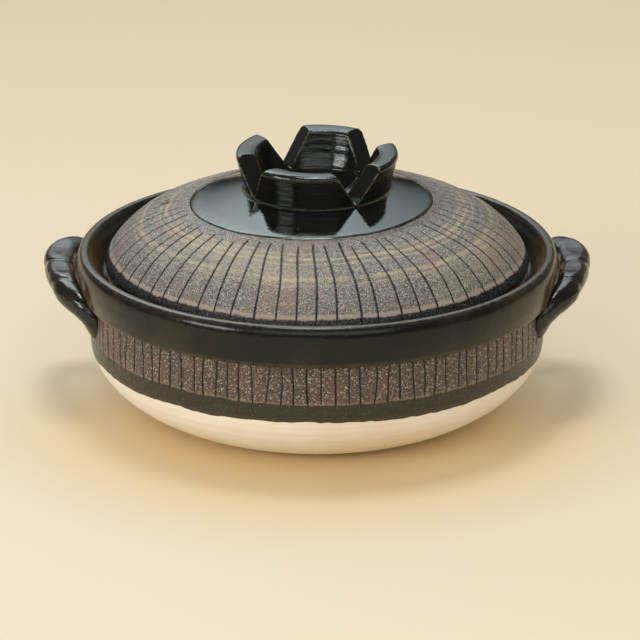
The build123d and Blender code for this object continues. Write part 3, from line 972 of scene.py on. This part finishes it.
def makeKnob(shape, glaze):
    outline = outlineOf(*[(shape[run], 2.0) for run in ("bed", "outer", "crown", "inner")])
    bm = lathe(outline[:-1], 180, True)
    pivot = Matrix.Translation((0, 0, shape["pivot"] * mm))
    tilt = pivot @ Matrix.Rotation(math.radians(shape["tilt"]), 4, "X") @ pivot.inverted()
    bmesh.ops.transform(bm, matrix=tilt, verts=bm.verts)
    knob = meshObject("lidKnob", bm)
    for turn in shape["notches"]:
        cutter = notchCutter(turn, shape)
        cutAway(knob, cutter)
        bpy.data.objects.remove(cutter)
    melt = knob.modifiers.new("melt", "REMESH")
    melt.mode = "VOXEL"
    melt.voxel_size = shape["voxel"] * mm
    soften = knob.modifiers.new("soften", "SMOOTH")
    soften.factor = 0.5
    soften.iterations = 5
    applyModifiers(knob)
    points = readPoints(knob, "co")
    height, turn = points[:, 2] / mm, turnOf(points)
    up = (height - 130) / 32
    throwing = gridNoise((9, 14), 51)(turn, up) * shape["throwing"]
    lumps = gridNoise((40, 40), 52)(turn, up) * shape["lumps"]
    swell(points, (throwing + lumps) * fade(height, *shape["throwingHeights"]))
    movePoints(knob, points)
    broken = fade(gridNoise((60, 40), 53)(turn, up), -0.5, 0.4)
    # pale crest and notch edges: thinned glaze, and partly a painted highlight
    paint(knob, "thin", edgeWearAndGlint(knob, 2) * fade(height, *shape["wornAndGlintHeights"]) * broken * shape["wornAndGlint"])
    dress(knob, glaze, "lid", "black_glaze", "lid_knob")
    print("knob is cut")


earShape = {
    "reach": 169.7, "halfLength": 50.0, "width": 20.5, "thickness": 16.5, "height": 81.0,
    "footHeight": 53.0, "wall": 139.5,
    # along, out, up, wide and thick at each station of the bar
    "stationShares": [(0.75, -0.3, 0.0, 0.6, 0.8), (0.82, 0.05, 0.15, 0.78, 0.95),
                      (0.95, 0.3, 0.5, 0.84, 0.97), (1.02, 0.52, 0.86, 0.86, 0.98),
                      (0.84, 0.83, 0.98, 0.98, 1.0), (0.58, 1.0, 1.0, 1.0, 0.97),
                      (0.26, 0.98, 0.97, 0.93, 0.94), (-0.06, 0.88, 0.97, 0.87, 0.93),
                      (-0.36, 0.71, 0.95, 0.81, 0.94), (-0.58, 0.5, 0.87, 0.78, 0.95),
                      (-0.74, 0.14, 0.72, 0.68, 1.0), (-0.78, -0.2, 0.48, 0.68, 1.15),
                      (-0.74, -0.34, 0.2, 0.6, 0.95), (-0.7, -0.4, 0.05, 0.5, 0.75)],
    "around": 112, "gap": 0.45,
    # place along the bar, depth, how round across and how round along
    "dishes": [(25.0, 1.5, 34.0, 62.0), (-7.5, 1.35, 26.0, 60.0)],
    "dishSoft": 0.3,
    "leftFolds": [(7.5, 0.30, 0.75), (-24.5, 0.36, 0.95)],              # place, slant, depth
    "rightFolds": [(7.0, -0.05, 0.25), (-23.0, -0.18, 1.1)],
    "foldBow": 0.02, "creaseAt": 0.45, "creaseWidth": 0.5, "ridgeAt": -0.75, "ridgeWidth": 0.65, "ridge": 0.5,
    "pinch": 0.55, "pinchWidth": 3.6,
    "barHeights": (72, 77), "barFoot": 77.5, "topSide": (8.5, 5.0), "dishRim": (7, 4.5),
    "lumps": 0.12, "wornAndGlint": 0.3,
}


def earRoute(shape):
    # the middle of the bar, its width and thickness, and which way is out and up along it
    distance = shape["reach"] - shape["width"] / 2 - shape["wall"]
    stations = [(shape["wall"] + distance * out, shape["halfLength"] * along,
                 shape["footHeight"] + (shape["height"] - shape["footHeight"]) * up,
                 shape["width"] * wide, shape["thickness"] * thick)
                for along, out, up, wide, thick in shape["stationShares"]]
    route = np.array(smoothLine(stations, shape["gap"]))
    ahead = np.gradient(route[:, :3], axis=0)
    ahead /= np.linalg.norm(ahead, axis=1)[:, None]
    outward = route[:, :3] * (1, 1, 0)
    outward /= np.linalg.norm(outward, axis=1)[:, None]
    outward -= ahead * np.sum(outward * ahead, axis=1)[:, None]
    outward /= np.linalg.norm(outward, axis=1)[:, None]
    return route, outward, np.cross(ahead, outward)


def barMesh(name, route, outward, upward, around):
    # draws a ring along the route; it is as wide and thick at each step as the route says
    bm = bmesh.new()
    ring = bmesh.ops.create_circle(bm, cap_ends=True, segments=around, radius=1)["verts"]
    circle = [tuple(v.co) for v in ring]
    loop = list(bm.edges)
    for i, (x, y, z, wide, thick) in enumerate(route):
        if i:
            kept = set(ring)
            made = bmesh.ops.extrude_edge_only(bm, edges=loop)["geom"]
            loop = [e for e in made if isinstance(e, bmesh.types.BMEdge)]
            fresh = {v for e in loop for v in e.verts}
            grownFrom = {e.other_vert(v): v for v in fresh for e in v.link_edges if e.other_vert(v) in kept}
            ring = [grownFrom[v] for v in ring]
        for v, (c, s, flat) in zip(ring, circle):
            v.co = Vector(((x, y, z) + outward[i] * c * wide / 2 + upward[i] * s * thick / 2) * mm)
    bmesh.ops.contextual_create(bm, geom=loop)
    bmesh.ops.recalc_face_normals(bm, faces=bm.faces)
    return meshObject(name, bm)


def pressEar(points, normals, route, folds, shape):
    # thumb dishes in the top of the bar, then the folds between them
    x, y, z = points.T / mm
    facing = fade(normals[:, 2], 0.05, 0.55)
    bar = fade(z, *shape["barHeights"])
    barRun = route[::-1][route[::-1, 2] > shape["barFoot"]]
    crownOf = lambda at: np.interp(at, barRun[:, 1], barRun[:, 2] + barRun[:, 4] / 2)
    across = x - np.interp(y, barRun[:, 1], barRun[:, 0])
    soft = shape["dishSoft"]
    for place, depth, roundAcross, roundAlong in shape["dishes"]:
        dish = crownOf(place) - depth + across ** 2 / (2 * roundAcross) + (y - place) ** 2 / (2 * roundAlong)
        over = z - dish
        pressed = (np.sqrt(over ** 2 + soft) + over) / 2 - soft / 4 / (np.abs(over) + 1)
        z -= pressed * facing * fade(crownOf(y) - z, *shape["dishRim"])
    move = gridNoise((40, 30), 61)(np.arctan2(y, x), (z - 45) / 45) * shape["lumps"]
    onTop = facing * bar * fade(np.abs(across), *shape["topSide"])
    for place, slant, depth in folds:
        off = y - place - across * slant - across ** 2 * shape["foldBow"]
        move -= shape["pinch"] * np.exp(-(off / shape["pinchWidth"]) ** 2) * bar
        move -= depth * np.exp(-((off - shape["creaseAt"]) / shape["creaseWidth"]) ** 2) * onTop
        ridge = np.exp(-((off - shape["ridgeAt"]) / shape["ridgeWidth"]) ** 2)
        move += depth * shape["ridge"] * ridge * onTop
    return (np.stack((x, y, z), axis=1) + normals * move[:, None]) * mm


def makeEar(name, side, node, shape, glaze):
    route, outward, upward = earRoute(shape)
    ear = barMesh(name, route, outward, upward, shape["around"])
    folds = shape["leftFolds" if side < 0 else "rightFolds"]
    points = pressEar(readPoints(ear, "co"), readPoints(ear, "normal"), route, folds, shape)
    points[:, 0] *= side
    movePoints(ear, points)
    if side < 0:        # the mirrored ear has to be turned the right way out again
        flip = bmesh.new()
        flip.from_mesh(ear.data)
        bmesh.ops.recalc_face_normals(flip, faces=flip.faces)
        flip.to_mesh(ear.data)
        flip.free()
    # pale sharp edges and ridges: thinned glaze, and partly a painted highlight
    paint(ear, "thin", shape["wornAndGlint"] * edgeWearAndGlint(ear, 3))
    dress(ear, glaze, "pot", "black_glaze", node)
    print(name, "is pressed on")


makeCamera(viewLook)
makeFloor(floorLook)
makeLights(lightLook)
makeCard(cardLook)

potGlaze = makeGlaze("blackGlaze", glazeLook)
earGlaze = makeGlaze("earGlaze", earLook)
discGlaze = makeGlaze("discGlaze", discLook)
knobGlaze = makeGlaze("knobGlaze", knobLook)
lidSlip = makeLidSlip("lidSlip", slipLook, lidShape)
bodySlip = makeBodySlip("bodySlip", bandLook, bandShape)
bareClay = makeClay("bareClay", clayLook)

makePotGlaze(potShape, potGlaze)
makeBand(bandShape, bodySlip)
makeBase(baseShape, bareClay)
makeEar("earLeft", -1, "handle_left", earShape, earGlaze)
makeEar("earRight", 1, "handle_right", earShape, earGlaze)
makeDisc(lidShape, discGlaze)
lidBand = makeLidBand(lidShape)
lidUnder = makeLidUnder(lidShape)
finishLid(lidShape, lidBand, lidUnder, lidSlip, potGlaze)
makeKnob(knobShape, knobGlaze)
